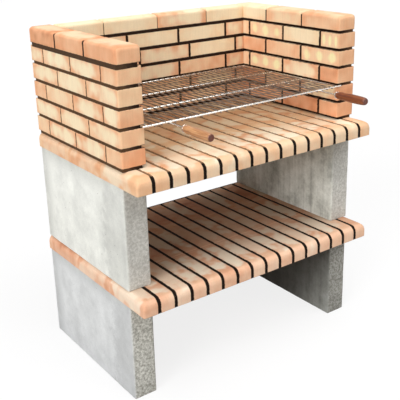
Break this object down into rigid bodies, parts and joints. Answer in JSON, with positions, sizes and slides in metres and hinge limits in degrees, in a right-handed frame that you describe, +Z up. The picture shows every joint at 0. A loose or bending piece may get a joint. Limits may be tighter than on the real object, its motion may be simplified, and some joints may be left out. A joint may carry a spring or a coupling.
{
  "type": "outdoor masonry barbecue",
  "caption": "Open masonry barbecue: brick-faced shelves on concrete slabs, a three-sided brick surround and a sliding wire grill with wooden handles.",
  "frame": {"origin": "on the ground, under the middle of the part's box", "axes": "+Z up, +X to the right and +Y to the back, seen by a cook who faces the hearth"},
  "size_m": [0.951, 0.7682, 1.1289],
  "materials": {
    "brick": "matt fired clay",
    "mortar": "matt dark mortar",
    "concrete": "plain cast concrete",
    "chromed_wire": "bright",
    "wood": "satin varnish"
  },
  "bodies": {
    "masonry": {"lower_left_leg": "concrete", "lower_right_leg": "concrete", "upper_left_leg": "concrete", "upper_right_leg": "concrete", "lower_shelf_row_01": "brick", "lower_shelf_row_02": "brick", "lower_shelf_row_03": "brick", "lower_shelf_row_04": "brick", "lower_shelf_row_05": "brick", "lower_shelf_row_06": "brick", "lower_shelf_row_07": "brick", "lower_shelf_row_08": "brick", "lower_shelf_row_09": "brick", "lower_shelf_row_10": "brick", "lower_shelf_row_11": "brick", "lower_shelf_row_12": "brick", "lower_shelf_row_13": "brick", "lower_shelf_row_14": "brick", "lower_shelf_row_15": "brick", "lower_shelf_row_16": "brick", "upper_shelf_row_01": "brick", "upper_shelf_row_02": "brick", "upper_shelf_row_03": "brick", "upper_shelf_row_04": "brick", "upper_shelf_row_05": "brick", "upper_shelf_row_06": "brick", "upper_shelf_row_07": "brick", "upper_shelf_row_08": "brick", "upper_shelf_row_09": "brick", "upper_shelf_row_10": "brick", "upper_shelf_row_11": "brick", "upper_shelf_row_12": "brick", "upper_shelf_row_13": "brick", "upper_shelf_row_14": "brick", "upper_shelf_row_15": "brick", "upper_shelf_row_16": "brick", "lower_shelf_mortar": "mortar", "upper_shelf_mortar": "mortar", "left_wall_course_1": "brick", "left_wall_course_2": "brick", "left_wall_course_3": "brick", "left_wall_course_4": "brick", "left_wall_course_5": "brick", "left_wall_course_6": "brick", "right_wall_course_1": "brick", "right_wall_course_2": "brick", "right_wall_course_3": "brick", "right_wall_course_4": "brick", "right_wall_course_5": "brick", "right_wall_course_6": "brick", "back_wall_course_1": "brick", "back_wall_course_2": "brick", "back_wall_course_3": "brick", "back_wall_course_4": "brick", "back_wall_course_5": "brick", "back_wall_course_6": "brick"},
    "grill": {"cooking_grill": "chromed_wire", "left_handle": "wood", "right_handle": "wood"}
  },
  "joints": [
    {"name": "grill_slide", "type": "slide", "parent": "masonry", "child": "grill", "axis": [0, -1, 0], "range_m": [0, 0.32]}
  ]
}
